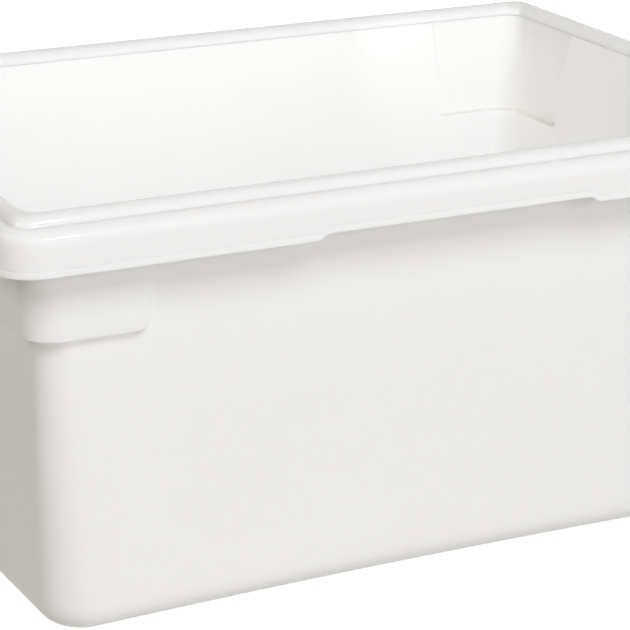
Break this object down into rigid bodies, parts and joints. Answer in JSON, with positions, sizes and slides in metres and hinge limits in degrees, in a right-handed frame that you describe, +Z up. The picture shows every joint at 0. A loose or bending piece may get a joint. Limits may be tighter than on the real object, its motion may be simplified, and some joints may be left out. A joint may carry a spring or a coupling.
{
  "type": "food storage box",
  "caption": "Rectangular open-top food storage box: deep white plastic tub with hollow corner lugs, carried in a rounded rim frame with a hanging skirt that gives a finger hold all round.",
  "frame": {"origin": "centre of the box's footprint, on the flat underside that it stands on", "axes": "+X along the long sides, +Y along the ends, +Z up out of the open mouth"},
  "size_m": [0.654, 0.457, 0.305],
  "materials": {
    "tub_plastic": "white polyethylene with a fine moulded grain",
    "frame_plastic": "smooth white polyethylene, slightly translucent at its thin edges"
  },
  "bodies": {
    "root": {"tub": "tub_plastic", "rim_frame": "frame_plastic"}
  },
  "joints": []
}
